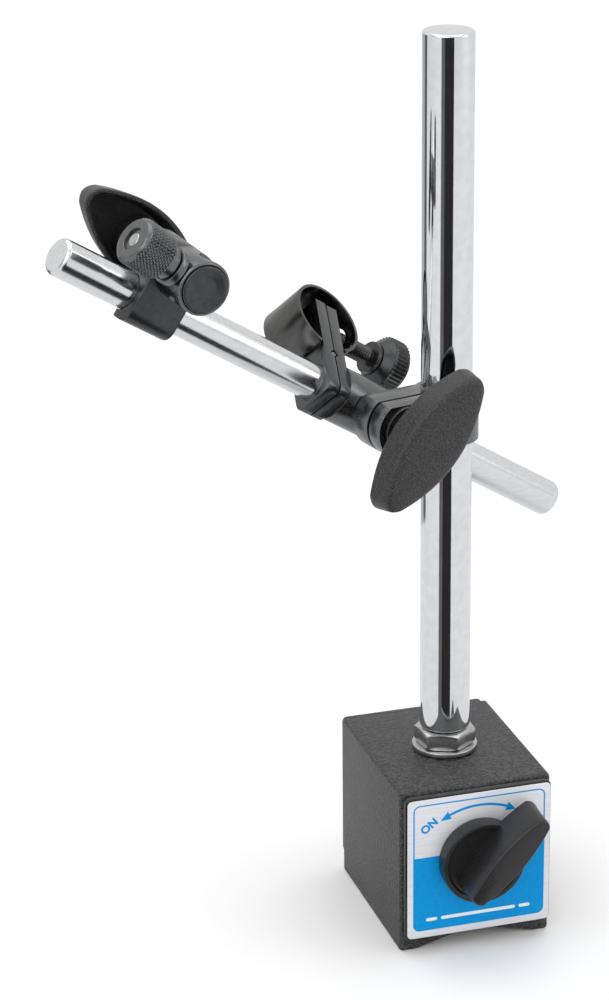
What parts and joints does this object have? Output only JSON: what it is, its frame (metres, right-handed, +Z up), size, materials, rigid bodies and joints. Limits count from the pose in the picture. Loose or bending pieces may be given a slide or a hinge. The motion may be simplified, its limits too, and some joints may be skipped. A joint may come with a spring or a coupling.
{
  "type": "magnetic indicator stand",
  "caption": "Switchable magnetic base with a chromed post, a clamped slanting arm, a spring-and-screw fine adjuster and a swivelling stem holder for a dial indicator.",
  "frame": {"origin": "centre of the whole stand's footprint box, on the surface the base stands on", "axes": "+Z is up along the post; -Y is the side with the magnet switch; +X is to the right seen from the switch side, the way the arm falls"},
  "size_m": [0.1742, 0.0958, 0.289],
  "materials": {
    "painted_iron": "dark wrinkle paint",
    "brass": "turned brass",
    "magnet": "dull ferrite and steel core",
    "black_plastic": "fine-grained black moulding",
    "label": "printed metal plate, satin",
    "chrome": "polished hard chrome",
    "blackened_steel": "blackened satin",
    "machined_steel": "machined satin",
    "spring_steel": "dark tempered strip",
    "zinc_plate": "bright zinc"
  },
  "bodies": {
    "base": {"pole_left": "painted_iron", "pole_right": "painted_iron", "pole_spacer_top": "brass", "pole_spacer_foot": "brass", "front_cover": "painted_iron", "label_plate": "label", "rear_cover": "painted_iron", "rear_screw_low_left": "zinc_plate", "rear_screw_high_left": "zinc_plate", "rear_screw_low_right": "zinc_plate", "rear_screw_high_right": "zinc_plate", "post_washer": "zinc_plate", "post_nut": "zinc_plate"},
    "switch": {"magnet_rotor": "magnet", "switch_knob": "black_plastic"},
    "post": {"post": "chrome"},
    "clamp": {"post_clamp": "machined_steel", "clamp_washer": "blackened_steel"},
    "arm": {"arm_sleeve": "machined_steel", "plate_fixed": "machined_steel", "pivot_pin": "machined_steel", "spring_band": "spring_steel"},
    "main_knob": {"wing_knob_main": "black_plastic", "wing_insert_main": "brass"},
    "fine_screw": {"adjust_screw": "zinc_plate", "adjust_knob": "blackened_steel"},
    "tilt_plate": {"plate_tilting": "machined_steel"},
    "rod": {"arm_rod": "chrome"},
    "end_clamp": {"hook_jaw": "blackened_steel", "rear_jaw": "machined_steel", "end_washer": "zinc_plate"},
    "holder": {"stem_holder": "machined_steel", "holder_cap": "blackened_steel", "end_bolt": "zinc_plate"},
    "end_knob": {"wing_knob_end": "black_plastic", "wing_insert_end": "brass"},
    "thumb": {"thumb_flange": "machined_steel", "thumb_knob": "machined_steel", "thumb_screw": "zinc_plate"}
  },
  "joints": [
    {"name": "switch_turn", "type": "hinge", "parent": "base", "child": "switch", "pos_m": [0.03946, -0.03016, 0.0318], "axis": [0, -1, 0], "range_deg": [0, 90]},
    {"name": "post_turn", "type": "hinge", "parent": "base", "child": "post", "pos_m": [0.03946, 0.00384, 0.06], "axis": [0, 0, 1], "range_deg": [-150, 150]},
    {"name": "clamp_lift", "type": "slide", "parent": "post", "child": "clamp", "axis": [0, 0, 1], "range_m": [-0.055, 0.1]},
    {"name": "arm_swivel", "type": "hinge", "parent": "clamp", "child": "arm", "pos_m": [0.02043, -0.00084, 0.1688], "axis": [-0.2385, 0.9711, 0], "range_deg": [-60, 35]},
    {"name": "main_knob_turn", "type": "hinge", "parent": "arm", "child": "main_knob", "pos_m": [0.02472, -0.01832, 0.1688], "axis": [-0.2385, 0.9711, 0], "range_deg": [-180, 180]},
    {"name": "fine_screw_turn", "type": "hinge", "parent": "arm", "child": "fine_screw", "pos_m": [0.02838, 0.03845, 0.17534], "axis": [0.8206, 0.2016, -0.5348], "range_deg": [-80, 120]},
    {"name": "fine_tilt", "type": "hinge", "parent": "arm", "child": "tilt_plate", "pos_m": [0.00256, 0.01883, 0.18255], "axis": [-0.5577, 0.487, -0.6722], "range_deg": [-0.8, 1.2]},
    {"name": "rod_slide", "type": "slide", "parent": "tilt_plate", "child": "rod", "axis": [0.8206, 0.2016, -0.5348], "range_m": [-0.05, 0.02]},
    {"name": "end_clamp_turn", "type": "hinge", "parent": "rod", "child": "end_clamp", "pos_m": [-0.056, -0.0021, 0.21597], "axis": [0.8206, 0.2016, -0.5348], "range_deg": [-90, 90]},
    {"name": "holder_turn", "type": "hinge", "parent": "end_clamp", "child": "holder", "pos_m": [-0.04611, -0.0172, 0.22546], "axis": [-0.1933, 0.9785, 0.0722], "range_deg": [-90, 90]},
    {"name": "end_knob_turn", "type": "hinge", "parent": "holder", "child": "end_knob", "pos_m": [-0.05268, 0.01607, 0.22792], "axis": [-0.1933, 0.9785, 0.0722], "range_deg": [-180, 180]},
    {"name": "thumb_turn", "type": "hinge", "parent": "holder", "child": "thumb", "pos_m": [-0.06066, -0.02325, 0.23797], "axis": [0.7489, 0.1947, -0.6334], "range_deg": [-180, 180]}
  ],
  "couplings": [
    {"joint": "fine_tilt", "follows": "fine_screw_turn", "ratio": 0.0098}
  ]
}
